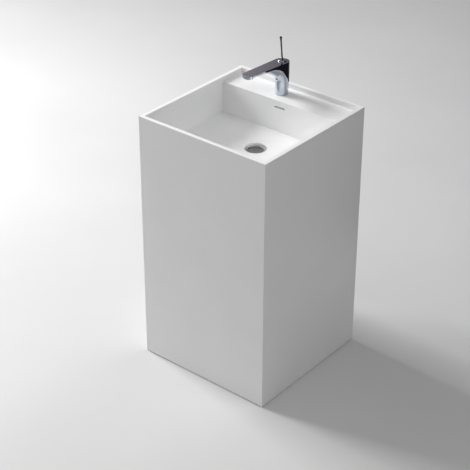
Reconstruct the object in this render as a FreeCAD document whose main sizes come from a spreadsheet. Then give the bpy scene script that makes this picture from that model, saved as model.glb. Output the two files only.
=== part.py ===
"""Square pedestal sink: a hollow white monolith with a sunk basin, deck mixer, pop-up waste and trap.

Millimetres, +Z up, origin on the floor under the centre of the pedestal.
-Y is the front, +Y the wall side, +X the user's right.
"""
import FreeCAD
import Part
import Sketcher
import math
import os
import re

os.makedirs("parts", exist_ok=True)
doc = FreeCAD.newDocument("PedestalSink")
sheet = doc.addObject("Spreadsheet::Sheet", "Sizes")

SIZES = {
    # white body
    "sink_width": 480, "sink_depth": 480, "sink_height": 850, "floor_gap": 3, "wall": 13,
    "deck_drop": 15, "deck_slab": 12, "basin_rear": 132, "basin_rear_wall": 12,
    "bowl_edge_drop": 119, "bowl_drain_drop": 129, "bowl_floor_below": 22,
    "slot_width": 41, "slot_gap": 5, "slot_drop": 37.5,
    "window_half": 160, "window_bottom": 60, "window_top": 600,
    "bearer_x": 120, "bearer_width": 26, "bearer_drop": 30,
    "block_side": 60, "block_tall": 40, "pad_radius": 20,
    "hanger_x": 180, "hanger_z": 690, "hanger_width": 60, "hanger_tall": 50, "hanger_thick": 3,
    "keyhole_entry": 8, "keyhole_slot": 4.2, "keyhole_rise": 14, "keyhole_depth": 6,
    "hanger_screw_x": 22, "hanger_screw_radius": 2,
    # drain and overflow
    "drain_y": 17, "recess_radius": 35, "recess_drop": 10, "drain_bore": 28.3,
    "flange_radius": 34, "flange_thick": 2.5, "throat_radius": 20, "mouth_radius": 25.5,
    "cup_outer": 28, "waste_outer": 22, "waste_bottom": 640, "gasket": 1, "under_gasket": 3,
    "collar_outer": 36, "collar_inner": 32, "collar_tall": 26, "collar_skin": 5,
    "locknut_flats": 58, "locknut_tall": 9,
    "overflow_tube": 10, "overflow_bore": 8, "overflow_y": 156.5, "overflow_bend": 24,
    "housing_half": 25, "housing_depth": 24, "housing_tall": 62, "housing_skin": 1.5, "housing_top": 816.8,
    "plug_radius": 24.5, "plug_sunk": 3, "stem_radius": 4,
    # trap
    "pipe_radius": 16, "pipe_bore": 14.5, "trap_top": 530, "trap_head": 30, "trap_head_tall": 66,
    "trap_cup": 27, "trap_cup_tall": 80, "trap_outlet_z": 488, "nut_outer": 24, "inlet_deep": 20,
    "pipe_grip": 30,
    # mixer
    "tap_x": -31.5, "tap_y": 183, "tap_hole": 17.5, "column_radius": 21, "tap_half": 22.5, "tip_half": 19,
    "tip_round": 6,
    "tap_reach": 176, "tap_top": 108, "top_rise": 3.6, "tap_seal": 1,
    "cartridge_y": 0, "cartridge_radius": 12.5, "cartridge_tall": 32, "nut_top": -1, "cartridge_top": -8,
    "aerator_reach": 156, "aerator_radius": 10, "aerator_low": 103, "aerator_high": 110.5,
    "button_high": 55, "button_radius": 3, "button_back": 20, "button_deep": 7,
    "tail_apart": 10, "tail_radius": 5, "tail_bore": 4, "tail_end": 482, "stud_side": 12, "stud_radius": 4,
    "stud_end": 792, "clamp_radius": 23, "clamp_thick": 2.5, "clamp_nut_flats": 13, "clamp_nut_tall": 14,
    "union_flats": 19, "union_tall": 20, "union_bore": 8.3, "union_low": 470,
    "lever_lean": 7, "lever_rod": 2.8, "lever_length": 81, "lever_knob": 3.9, "lever_end": 3.1,
    "knob_tall": 7, "pivot_radius": 1.25, "pivot_high": 1.2, "running_gap": 0.05,
    "turret_radius": 13.3, "turret_tall": 3.6, "spindle_radius": 6, "joint_gap": 0.3,
}
for row, (alias, number) in enumerate(SIZES.items(), start=1):
    sheet.set("A%d" % row, alias)
    sheet.set("B%d" % row, str(number))
    sheet.setAlias("B%d" % row, alias)
doc.recompute()

NODES = []


def bound(expression):
    """The expression with each size's name replaced by its spreadsheet cell."""
    return re.sub(r"[a-z_]+", lambda word: "Sizes." + word[0] if word[0] in SIZES else word[0], expression)


def amount(expression):
    """The present value of an expression, as a plain number."""
    result = sheet.evalExpression(bound(expression))
    return float(getattr(result, "Value", result))


def bind(thing, **properties):
    """Bind properties to expressions; a double underscore stands for a dot."""
    for name, expression in properties.items():
        thing.setExpression(name.replace("__", "."), bound(expression))
    return thing


def place(thing, x="0", y="0", z="0", turn_x=None):
    """Bind an object's place, and its turn about X where it has one."""
    bind(thing, Placement__Base__x=x, Placement__Base__y=y, Placement__Base__z=z)
    if turn_x is not None:
        thing.Placement = FreeCAD.Placement(thing.Placement.Base,
                                            FreeCAD.Rotation(FreeCAD.Vector(1, 0, 0), 1))
        bind(thing, Placement__Rotation__Angle=turn_x)
    return thing


def node(thing, label):
    """Give a finished sub-part the name that its file takes."""
    thing.Label = label
    NODES.append(thing)
    return thing


# ---- sketches and bodies -------------------------------------------------------------------------

def origin_plane(body, role):
    return next(feature for feature in body.Origin.OriginFeatures if feature.Role == role)


def new_sketch(body, name, role, offset="0"):
    sketch = body.newObject("Sketcher::SketchObject", name)
    sketch.AttachmentSupport = (origin_plane(body, role), [""])
    sketch.MapMode = "FlatFace"
    bind(sketch, AttachmentOffset__Base__z=offset)
    return sketch


def pin_point(sketch, curve, end, x, y):
    """Hold one end of a curve at an expression's distance from the sketch's origin."""
    for axis, expression, axis_line in (("X", x, -2), ("Y", y, -1)):
        if expression == "0":
            sketch.addConstraint(Sketcher.Constraint("PointOnObject", curve, end, axis_line))
            continue
        constraint = Sketcher.Constraint("Distance" + axis, -1, 1, curve, end, amount(expression))
        name = "%s%d_%d" % (axis.lower(), curve, end)
        sketch.renameConstraint(sketch.addConstraint(constraint), name)
        sketch.setExpression("Constraints." + name, bound(expression))


def draw_outline(sketch, corners):
    """A closed outline of straight lines through corners given as pairs of expressions."""
    points = [FreeCAD.Vector(amount(x), amount(y), 0) for x, y in corners]
    first = sketch.GeometryCount
    count = len(points)
    for index, point in enumerate(points):
        sketch.addGeometry(Part.LineSegment(point, points[(index + 1) % count]), False)
    for index in range(count):
        after = first + (index + 1) % count
        sketch.addConstraint(Sketcher.Constraint("Coincident", first + index, 2, after, 1))
    for index, (x, y) in enumerate(corners):
        pin_point(sketch, first + index, 1, x, y)


def draw_circle(sketch, x, y, radius):
    centre = FreeCAD.Vector(amount(x), amount(y), 0)
    circle = sketch.addGeometry(Part.Circle(centre, FreeCAD.Vector(0, 0, 1), amount(radius)), False)
    pin_point(sketch, circle, 3, x, y)
    constraint = sketch.addConstraint(Sketcher.Constraint("Radius", circle, amount(radius)))
    sketch.renameConstraint(constraint, "radius%d" % circle)
    sketch.setExpression("Constraints.radius%d" % circle, bound(radius))


def new_body(name):
    return doc.addObject("PartDesign::Body", name)


def pad(body, sketch, length):
    feature = body.newObject("PartDesign::Pad", "Pad")
    feature.Profile = sketch
    bind(feature, Length=length)
    sketch.Visibility = False
    return feature


def pocket(body, sketch):
    """Cut a sketch right through a body, both ways from its plane."""
    doc.recompute()
    before = body.Shape.Volume
    feature = body.newObject("PartDesign::Pocket", "Pocket")
    feature.Profile = sketch
    feature.Type = "ThroughAll"
    feature.Midplane = True
    doc.recompute()
    if body.Shape.Volume > before - 1:
        raise RuntimeError("a pocket of %s cuts nothing" % body.Name)
    return feature


def prism(name, corners, length, offset="0", role="XY_Plane"):
    """A body padded from an outline, starting at an offset from its origin plane."""
    body = new_body(name)
    sketch = new_sketch(body, name + "_outline", role, offset)
    draw_outline(sketch, corners)
    pad(body, sketch, length)
    return body


def turned(name, section, x="0", y="0", z="0", turn_x=None):
    """A body turned about its own Z axis from a section of (radius, height) pairs."""
    body = new_body(name)
    sketch = new_sketch(body, name + "_section", "XZ_Plane")
    draw_outline(sketch, section)
    feature = body.newObject("PartDesign::Revolution", "Turn")
    feature.Profile = sketch
    feature.ReferenceAxis = (sketch, ["V_Axis"])
    feature.Angle = 360
    return place(body, x, y, z, turn_x)


def ring_section(inner, outer, low, high):
    return [(inner, low), (outer, low), (outer, high), (inner, high)]


def hex_nut(name, flats, bore, tall, x, y, z):
    """A hexagon nut with a plain bore."""
    body = new_body(name)
    sketch = new_sketch(body, name + "_outline", "XY_Plane")
    half = "(%s)/2" % flats
    long = "(%s)/sqrt(3)" % flats
    short = "(%s)/sqrt(12)" % flats
    corners = [(long, "0"), (short, half), ("-" + short, half), ("-" + long, "0"),
               ("-" + short, "-" + half), (short, "-" + half)]
    draw_outline(sketch, corners)
    draw_circle(sketch, "0", "0", bore)
    pad(body, sketch, tall)
    return place(body, x, y, z)


# ---- primitives and booleans ----------------------------------------------------------------------

def block(name, x, y, z, length, width, tall):
    thing = doc.addObject("Part::Box", name)
    bind(thing, Length=length, Width=width, Height=tall)
    return place(thing, x, y, z)


def rod(name, radius, tall, x="0", y="0", z="0", turn_x=None):
    thing = doc.addObject("Part::Cylinder", name)
    bind(thing, Radius=radius, Height=tall)
    return place(thing, x, y, z, turn_x)


def rod_along_x(name, radius, length, x, y, z):
    """A cylinder centred on a point, with its axis along X."""
    thing = doc.addObject("Part::Cylinder", name)
    bind(thing, Radius=radius, Height=length)
    thing.Placement = FreeCAD.Placement(FreeCAD.Vector(), FreeCAD.Rotation(FreeCAD.Vector(0, 1, 0), 90))
    bind(thing, Placement__Base__x="%s - (%s)/2" % (x, length), Placement__Base__y=y, Placement__Base__z=z)
    return thing


def cut(name, base, *tools):
    for index, tool in enumerate(tools):
        step = doc.addObject("Part::Cut", "%s_%d" % (name, index))
        step.Base = base
        step.Tool = tool
        doc.recompute()
        if step.Shape.Volume > base.Shape.Volume - 0.5:
            raise RuntimeError("%s cuts nothing from %s" % (tool.Name, name))
        base = step
    return base


def joined(name, *pieces):
    thing = doc.addObject("Part::MultiFuse", name)
    thing.Shapes = list(pieces)
    return thing


def group(name, *pieces):
    """Identical loose solids kept together as one sub-part."""
    thing = doc.addObject("Part::Compound", name)
    thing.Links = list(pieces)
    return thing


# ---- white body -----------------------------------------------------------------------------------

OUT_X, OUT_Y = "sink_width/2", "sink_depth/2"
IN_X, IN_Y = "(sink_width/2 - wall)", "(sink_depth/2 - wall)"
PANEL_TALL = "sink_height - floor_gap"


def mitred_panel(name, corners):
    """One wall of the pedestal, mitred at both ends."""
    return prism(name, corners, PANEL_TALL, "floor_gap")


def side_panels():
    front = [("-" + OUT_X, "-" + OUT_Y), (OUT_X, "-" + OUT_Y), (IN_X, "-" + IN_Y), ("-" + IN_X, "-" + IN_Y)]
    left = [("-" + OUT_X, "-" + OUT_Y), ("-" + IN_X, "-" + IN_Y), ("-" + IN_X, IN_Y), ("-" + OUT_X, OUT_Y)]
    right = [(OUT_X, "-" + OUT_Y), (OUT_X, OUT_Y), (IN_X, IN_Y), (IN_X, "-" + IN_Y)]
    node(mitred_panel("FrontPanel", front), "front_panel")
    node(mitred_panel("LeftPanel", left), "left_panel")
    node(mitred_panel("RightPanel", right), "right_panel")


def rear_panel():
    """The wall side: a service window, and two pockets for the hanger plates."""
    corners = [("-" + OUT_X, OUT_Y), ("-" + IN_X, IN_Y), (IN_X, IN_Y), (OUT_X, OUT_Y)]
    panel = mitred_panel("RearPanel", corners)
    window = new_sketch(panel, "Service_window", "XZ_Plane")
    low, high = "window_bottom", "window_top"
    draw_outline(window, [("-window_half", low), ("window_half", low), ("window_half", high),
                          ("-window_half", high)])
    pocket(panel, window)
    tools = []
    for side in ("-", ""):
        centre = side + "hanger_x"
        tools.append(block("Hanger_seat", centre + " - hanger_width/2", OUT_Y + " - hanger_thick",
                           "hanger_z - hanger_tall/2", "hanger_width", "hanger_thick + 1", "hanger_tall"))
        tools.append(block("Hanger_relief", centre + " - keyhole_entry*1.2",
                           OUT_Y + " - hanger_thick - keyhole_depth", "hanger_z - keyhole_entry*1.5",
                           "keyhole_entry*2.4", "keyhole_depth + 1", "keyhole_entry*3 + keyhole_rise"))
        for end in ("-", "+"):
            spot = "%s %s hanger_screw_x" % (centre, end)
            hole = rod("Screw_hole", "hanger_screw_radius", "8", turn_x="90")
            tools.append(place(hole, spot, OUT_Y + " - hanger_thick + 1", "hanger_z"))
    node(cut("RearPanelCut", panel, *tools), "rear_panel")


def bowl_floor():
    """The basin's floor: four gentle falls to a round recess for the waste."""
    low = "sink_height - bowl_drain_drop - bowl_floor_below"
    tall = "bowl_drain_drop - bowl_edge_drop + bowl_floor_below"
    slab = block("Floor_slab", "-" + IN_X, "-" + IN_Y, low, "2*" + IN_X,
                 IN_Y + " + basin_rear + basin_rear_wall", tall)
    falls = doc.addObject("Part::Wedge", "Floor_falls")
    rise = "bowl_drain_drop - bowl_edge_drop"
    bind(falls, Xmin="-recess_radius", Xmax="recess_radius", Zmin="-recess_radius", Zmax="recess_radius",
         Ymin="0", Ymax=rise, X2min="-" + IN_X, X2max=IN_X,
         Z2min="-(basin_rear - drain_y)", Z2max=IN_Y + " + drain_y")
    falls.Placement = FreeCAD.Placement(FreeCAD.Vector(), FreeCAD.Rotation(FreeCAD.Vector(1, 0, 0), 90))
    bind(falls, Placement__Base__y="drain_y", Placement__Base__z="sink_height - bowl_drain_drop")
    recess = rod("Recess", "recess_radius", "40", "0", "drain_y",
                 "sink_height - bowl_drain_drop - recess_drop")
    bore = rod("Drain_bore", "drain_bore", "60", "0", "drain_y", "sink_height - bowl_drain_drop - 40")
    node(cut("BasinFloor", slab, falls, recess, bore), "basin_floor")


def bowl_rear_wall():
    """The wall between the bowl and the tap deck, with the overflow slot."""
    low = "sink_height - bowl_edge_drop"
    high = "sink_height - deck_drop - deck_slab"
    wall = prism("BasinRearWall", [("-" + IN_X, "basin_rear"), (IN_X, "basin_rear"),
                                   (IN_X, "basin_rear + basin_rear_wall"),
                                   ("-" + IN_X, "basin_rear + basin_rear_wall")],
                 "(%s) - (%s)" % (high, low), low)
    slot_z = "sink_height - slot_drop"
    middle = block("Slot_middle", "-(slot_width - slot_gap)/2", "basin_rear - 1", slot_z + " - slot_gap/2",
                   "slot_width - slot_gap", "basin_rear_wall + 2", "slot_gap")
    tools = [middle]
    for side in ("-", ""):
        end = rod("Slot_end", "slot_gap/2", "basin_rear_wall + 2", turn_x="90")
        tools.append(place(end, side + "(slot_width - slot_gap)/2", "basin_rear + basin_rear_wall + 1",
                           slot_z))
    node(cut("BasinRearWallCut", wall, joined("Overflow_slot", *tools)), "basin_rear_wall")


def tap_deck():
    low = "sink_height - deck_drop - deck_slab"
    deck = prism("TapDeck", [("-" + IN_X, "basin_rear"), (IN_X, "basin_rear"), (IN_X, IN_Y),
                             ("-" + IN_X, IN_Y)],
                 "deck_slab", low)
    hole = new_sketch(deck, "Tap_hole", "XY_Plane")
    draw_circle(hole, "tap_x", "tap_y", "tap_hole")
    pocket(deck, hole)
    node(deck, "tap_deck")


def body_battens():
    """Battens bonded inside the walls: two under the basin, four corner blocks with floor pads."""
    under_floor = "sink_height - bowl_drain_drop - bowl_floor_below"
    bearers = []
    blocks = []
    pads = []
    for side in ("-", ""):
        bearers.append(block("Bearer", side + "bearer_x - bearer_width/2", "-" + IN_Y,
                             under_floor + " - bearer_drop",
                             "bearer_width", IN_Y + " + basin_rear + basin_rear_wall", "bearer_drop"))
        block_x = IN_X + " - block_side" if side == "" else "-" + IN_X
        for end in ("-", ""):
            block_y = IN_Y + " - block_side" if end == "" else "-" + IN_Y
            blocks.append(block("Corner_block", block_x, block_y, "floor_gap", "block_side", "block_side",
                                "block_tall"))
            pads.append(rod("Floor_pad", "pad_radius", "floor_gap", side + "(%s - block_side/2)" % IN_X,
                            end + "(%s - block_side/2)" % IN_Y))
    node(group("BasinBearers", *bearers), "basin_bearers")
    node(group("CornerBlocks", *blocks), "corner_blocks")
    node(group("FloorPads", *pads), "floor_pads")


def hangers():
    """Two steel keyhole plates let into the rear panel, each on two wood screws."""
    plates = []
    screws = []
    for side in ("-", ""):
        centre = side + "hanger_x"
        front = OUT_Y + " - hanger_thick"
        plate = block("Plate", centre + " - hanger_width/2", front, "hanger_z - hanger_tall/2",
                      "hanger_width", "hanger_thick", "hanger_tall")
        entry = place(rod("Entry", "keyhole_entry", "hanger_thick + 2", turn_x="90"), centre, OUT_Y + " + 1",
                      "hanger_z")
        slot = block("Rise", centre + " - keyhole_slot", front + " - 1", "hanger_z",
                     "2*keyhole_slot", "hanger_thick + 2", "keyhole_entry + keyhole_rise - 4")
        tools = [joined("Keyhole", entry, slot)]
        for end in ("-", "+"):
            spot = "%s %s hanger_screw_x" % (centre, end)
            hole = rod("Plate_hole", "hanger_screw_radius + 0.3", "hanger_thick + 2", turn_x="90")
            tools.append(place(hole, spot, OUT_Y + " + 1", "hanger_z"))
            shank = rod("Shank", "hanger_screw_radius", "hanger_thick + 6", turn_x="90")
            screws.append(place(shank, spot, OUT_Y, "hanger_z"))
        plates.append(cut("HangerPlate", plate, *tools))
    node(group("HangerPlates", *plates), "hanger_plates")
    node(group("HangerScrews", *screws), "hanger_screws")


# ---- overflow -------------------------------------------------------------------------------------

SLAB_LOW = "(sink_height - bowl_drain_drop - bowl_floor_below)"
COLLAR_TOP = "(%s - under_gasket)" % SLAB_LOW
PORT_Z = "(%s - collar_tall/2)" % COLLAR_TOP
PIPE_TOP = "(housing_top - housing_tall - 2)"


def overflow_housing():
    """A plastic trough bonded behind the slot, with a spigot at its foot."""
    face = "(basin_rear + basin_rear_wall)"
    low = "(housing_top - housing_tall)"
    shell = block("Trough", "-housing_half", face, low, "2*housing_half", "housing_depth", "housing_tall")
    hollow = block("Trough_hollow", "-housing_half + housing_skin", face + " - 1", low + " + housing_skin",
                   "2*housing_half - 2*housing_skin", "housing_depth + 1 - housing_skin",
                   "housing_tall - 2*housing_skin")
    spigot = rod("Spigot", "overflow_tube + 2", "16", "0", "overflow_y", low + " - 14")
    bore = rod("Spigot_bore", "overflow_tube", "13", "0", "overflow_y", low + " - 15")
    way = rod("Spigot_way", "overflow_bore", "20", "0", "overflow_y", low + " - 10")
    body = cut("OverflowShell", shell, hollow)
    node(cut("OverflowHousing", joined("Trough_and_spigot", body, spigot), bore, way), "overflow_housing")


def overflow_pipe():
    """A rigid pipe from the trough down and forward to the waste's collar."""
    body = new_body("OverflowPipe")
    path = new_sketch(body, "Pipe_path", "YZ_Plane")
    top = amount(PIPE_TOP)
    back = amount("overflow_y")
    bend = amount("overflow_bend")
    port = amount(PORT_Z)
    front = amount("drain_y + collar_outer - 2")
    upright = Part.LineSegment(FreeCAD.Vector(back, top, 0), FreeCAD.Vector(back, port + bend, 0))
    corner = FreeCAD.Vector(back - bend, port + bend, 0)
    arc = Part.ArcOfCircle(Part.Circle(corner, FreeCAD.Vector(0, 0, 1), bend), -math.pi / 2, 0)
    level = Part.LineSegment(FreeCAD.Vector(back - bend, port, 0), FreeCAD.Vector(front, port, 0))
    for curve in (upright, arc, level):
        path.addGeometry(curve, False)
    path.addConstraint(Sketcher.Constraint("Vertical", 0))
    path.addConstraint(Sketcher.Constraint("Horizontal", 2))
    path.addConstraint(Sketcher.Constraint("Tangent", 0, 2, 1, 2))
    path.addConstraint(Sketcher.Constraint("Tangent", 1, 1, 2, 1))
    pin_point(path, 0, 1, "overflow_y", PIPE_TOP)
    pin_point(path, 2, 2, "drain_y + collar_outer - 2", PORT_Z)
    radius = path.addConstraint(Sketcher.Constraint("Radius", 1, bend))
    path.renameConstraint(radius, "bend")
    path.setExpression("Constraints.bend", bound("overflow_bend"))
    ring = new_sketch(body, "Pipe_ring", "XY_Plane", PIPE_TOP)
    draw_circle(ring, "0", "overflow_y", "overflow_tube")
    draw_circle(ring, "0", "overflow_y", "overflow_bore")
    pipe = body.newObject("PartDesign::AdditivePipe", "Pipe")
    pipe.Profile = ring
    pipe.Spine = (path, ["Edge1", "Edge2", "Edge3"])
    node(body, "overflow_pipe")


# ---- pop-up waste ---------------------------------------------------------------------------------

def waste_fitting():
    """Flanged waste body and all that clamps it through the basin's floor."""
    seat = "(sink_height - bowl_drain_drop - recess_drop)"
    flange_low = "(%s + gasket)" % seat
    flange_top = "(%s + flange_thick)" % flange_low
    section = [("throat_radius", "waste_bottom"), ("waste_outer", "waste_bottom"), ("waste_outer", SLAB_LOW),
               ("cup_outer", SLAB_LOW + " + 3"), ("cup_outer", flange_low), ("flange_radius", flange_low),
               ("flange_radius", flange_top), ("mouth_radius", flange_top),
               ("mouth_radius", flange_top + " - 9"),
               ("throat_radius", flange_top + " - 14")]
    waste = turned("WasteBody", section, y="drain_y")
    ports = []
    for angle, name in ((0, "Overflow_port_x"), (90, "Overflow_port_y")):
        port = doc.addObject("Part::Box", name)
        bind(port, Length="80", Width="14", Height="12")
        turn = FreeCAD.Rotation(FreeCAD.Vector(0, 0, 1), angle)
        offset = turn.multVec(FreeCAD.Vector(-40, -7, 0))
        port.Placement = FreeCAD.Placement(offset, turn)
        bind(port, Placement__Base__y="%.0f + drain_y" % offset.y, Placement__Base__z=PORT_Z + " - 6")
        ports.append(port)
    node(cut("WasteBodyCut", waste, joined("Overflow_ports", *ports)), "waste_body")
    node(turned("WasteTopGasket", ring_section("drain_bore", "flange_radius - 1", seat, flange_low),
                y="drain_y"),
         "waste_top_gasket")
    node(turned("WasteUnderGasket", ring_section("waste_outer", "collar_outer", COLLAR_TOP, SLAB_LOW),
                y="drain_y"),
         "waste_under_gasket")
    collar_low = "(%s - collar_tall)" % COLLAR_TOP
    section = [("waste_outer", collar_low), ("collar_outer", collar_low), ("collar_outer", COLLAR_TOP),
               ("waste_outer", COLLAR_TOP), ("waste_outer", COLLAR_TOP + " - collar_skin"),
               ("collar_inner", COLLAR_TOP + " - collar_skin"),
               ("collar_inner", collar_low + " + collar_skin"),
               ("waste_outer", collar_low + " + collar_skin")]
    collar = turned("CollarRing", section, y="drain_y")
    socket = rod("Collar_socket", "overflow_tube + 2", "16", turn_x="-90")
    place(socket, "0", "drain_y + collar_inner + 1", PORT_Z)
    socket_bore = rod("Collar_socket_bore", "overflow_tube", "20", turn_x="-90")
    place(socket_bore, "0", "drain_y + collar_outer - 2", PORT_Z)
    way = place(rod("Collar_way", "overflow_bore", "20", turn_x="-90"), "0", "drain_y + collar_inner - 3",
                PORT_Z)
    node(cut("OverflowCollar", joined("Collar_and_socket", collar, socket), socket_bore, way),
         "overflow_collar")
    node(hex_nut("WasteLocknut", "locknut_flats", "waste_outer", "locknut_tall", "0", "drain_y",
                 collar_low + " - locknut_tall"), "waste_locknut")
    return flange_top


def plug_and_cartridge(flange_top):
    """A click plug on its stem, guided by a spider set across the waste's throat."""
    cap_top = "(%s - plug_sunk)" % flange_top
    cap = [("0", cap_top + " - 4"), ("plug_radius - 3", cap_top + " - 4"),
           ("plug_radius", cap_top + " - 2.5"),
           ("plug_radius", cap_top + " - 1"), ("plug_radius - 2", cap_top), ("0", cap_top)]
    node(turned("PlugCap", cap, y="drain_y"), "plug_cap")
    seal = ring_section("stem_radius", "throat_radius + 1", cap_top + " - 6.5", cap_top + " - 4")
    node(turned("PlugSeal", seal, y="drain_y"), "plug_seal")
    stem = [("0", cap_top + " - 34"), ("stem_radius", cap_top + " - 34"), ("stem_radius", cap_top + " - 4"),
            ("0", cap_top + " - 4")]
    node(turned("PlugStem", stem, y="drain_y"), "plug_stem")
    hub_low = "(%s - 52)" % cap_top
    hub = turned("SpiderHub", ring_section("stem_radius + 0.05", "8", hub_low + " + 8", hub_low + " + 30"),
                 y="drain_y")
    arms = [block("Spider_arm_x", "-throat_radius", "drain_y - 1.5", hub_low + " + 8", "2*throat_radius", "3",
                  "6"),
            block("Spider_arm_y", "-1.5", "drain_y - throat_radius", hub_low + " + 8", "3", "2*throat_radius",
                  "6")]
    shaft = rod("Spider_bore", "stem_radius + 0.05", "60", "0", "drain_y", hub_low)
    rim = turned("SpiderRim", ring_section("throat_radius - 1.5", "throat_radius", hub_low + " + 8",
                                           hub_low + " + 14"),
                 y="drain_y")
    node(cut("ClickCartridge", joined("Spider", hub, rim, *arms), shaft), "click_cartridge")


# ---- bottle trap ----------------------------------------------------------------------------------

def bottle_trap():
    """Tailpiece, trap head, screwed cup with its dip tube, and the outlet to the wall."""
    def at_drain(name, section):
        return turned(name, section, y="drain_y")

    seal_low = "(waste_bottom - 2)"
    node(at_drain("TailpieceSeal", ring_section("pipe_bore", "waste_outer - 0.5", seal_low, "waste_bottom")),
         "tailpiece_seal")
    tail = [("pipe_bore", "trap_top - inlet_deep"), ("pipe_radius", "trap_top - inlet_deep"),
            ("pipe_radius", seal_low + " - 2"),
            ("waste_outer - 0.5", seal_low + " - 2"), ("waste_outer - 0.5", seal_low),
            ("pipe_bore", seal_low)]
    node(at_drain("Tailpiece", tail), "tailpiece")
    nut = [("pipe_radius + 0.2", seal_low + " - 6"), ("waste_outer + 4", seal_low + " - 6"),
           ("waste_outer + 4", "waste_bottom + 14"), ("waste_outer", "waste_bottom + 14"),
           ("waste_outer", seal_low + " - 2"), ("pipe_radius + 0.2", seal_low + " - 2")]
    node(at_drain("TailpieceNut", nut), "tailpiece_nut")

    top = "trap_top"
    low = "(trap_top - trap_head_tall)"
    head = [("0", low), ("trap_head", low), ("trap_head", top + " - 16"), ("nut_outer - 4", top + " - 10"),
            ("nut_outer - 4", top), ("0", top)]
    shell = at_drain("TrapHeadShell", head)
    outlet = place(rod("Outlet_socket", "pipe_radius + 4", "28", turn_x="-90"), "0",
                   "drain_y + trap_head - 10",
                   "trap_outlet_z")
    hollow = rod("Head_hollow", "trap_head - 4", "trap_head_tall - inlet_deep - 4", "0", "drain_y", low)
    inlet = rod("Head_inlet", "pipe_radius", "inlet_deep + 2", "0", "drain_y", top + " - inlet_deep - 2")
    throat = rod("Head_throat", "pipe_bore", "inlet_deep + 10", "0", "drain_y", top + " - inlet_deep - 8")
    seat = place(rod("Outlet_seat", "pipe_radius", "28", turn_x="-90"), "0", "drain_y + trap_head",
                 "trap_outlet_z")
    way = place(rod("Outlet_way", "pipe_bore", "40", turn_x="-90"), "0", "drain_y + 16", "trap_outlet_z")
    head_part = cut("TrapHead", joined("Head_and_outlet", shell, outlet), hollow, inlet, throat, seat, way)
    node(head_part, "trap_head")

    ring = ring_section("pipe_radius", "nut_outer - 4", top, top + " + 3")
    node(at_drain("TrapInletSeal", ring), "trap_inlet_seal")
    inlet_nut = [("nut_outer - 4", top + " - 8"), ("nut_outer", top + " - 8"), ("nut_outer", top + " + 7"),
                 ("pipe_radius + 0.2", top + " + 7"), ("pipe_radius + 0.2", top + " + 3"),
                 ("nut_outer - 4", top + " + 3")]
    node(at_drain("TrapInletNut", inlet_nut), "trap_inlet_nut")
    ledge = top + " - inlet_deep - 2"
    dip = [("pipe_bore - 2", low + " - 36"), ("pipe_bore", low + " - 36"), ("pipe_bore", ledge),
           ("pipe_radius", ledge),
           ("pipe_radius", top + " - inlet_deep"), ("pipe_bore - 2", top + " - inlet_deep")]
    node(at_drain("DipTube", dip), "trap_dip_tube")

    cup_low = "(%s - trap_cup_tall)" % low
    cup = [("0", cup_low), ("trap_cup - 8", cup_low), ("trap_cup", cup_low + " + 8"),
           ("trap_cup", low + " - 6"),
           ("trap_head", low + " - 6"), ("trap_head", low + " - 2"), ("trap_head - 4", low + " - 2"),
           ("trap_head - 4", low + " + 10"), ("trap_cup - 4", low + " + 10"),
           ("trap_cup - 4", cup_low + " + 9"),
           ("trap_cup - 9", cup_low + " + 4"), ("0", cup_low + " + 4")]
    node(at_drain("TrapCup", cup), "trap_cup")
    node(at_drain("TrapCupSeal", ring_section("trap_head - 4", "trap_head", low + " - 2", low)),
         "trap_cup_seal")

    end = "drain_y + trap_head + 18"
    length = "(sink_depth/2 - drain_y - trap_head - 2)"
    groove = length + " - pipe_grip - 3"
    section = [("pipe_bore", "0"), ("pipe_radius", "0"), ("pipe_radius", groove),
               ("pipe_radius - 0.7", groove),
               ("pipe_radius - 0.7", length + " - pipe_grip"), ("pipe_radius", length + " - pipe_grip"),
               ("pipe_radius", length), ("pipe_bore", length)]
    pipe = turned("OutletPipe", section, y="drain_y + trap_head + 2", z="trap_outlet_z", turn_x="-90")
    node(pipe, "outlet_pipe")
    node(turned("OutletSeal", ring_section("pipe_radius", "pipe_radius + 4", "0", "3"), y=end,
                z="trap_outlet_z",
                turn_x="-90"), "outlet_seal")
    outlet_nut = [("pipe_radius + 4", "-8"), ("nut_outer", "-8"), ("nut_outer", "7"),
                  ("pipe_radius + 0.2", "7"),
                  ("pipe_radius + 0.2", "3"), ("pipe_radius + 4", "3")]
    node(turned("OutletNut", outlet_nut, y=end, z="trap_outlet_z", turn_x="-90"), "outlet_nut")


# ---- mixer ----------------------------------------------------------------------------------------

DECK = "(sink_height - deck_drop)"
BASE = "(%s + tap_seal)" % DECK
TOP_AT_AXIS = "(%s + tap_top - cartridge_y*tan(top_rise))" % BASE


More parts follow.
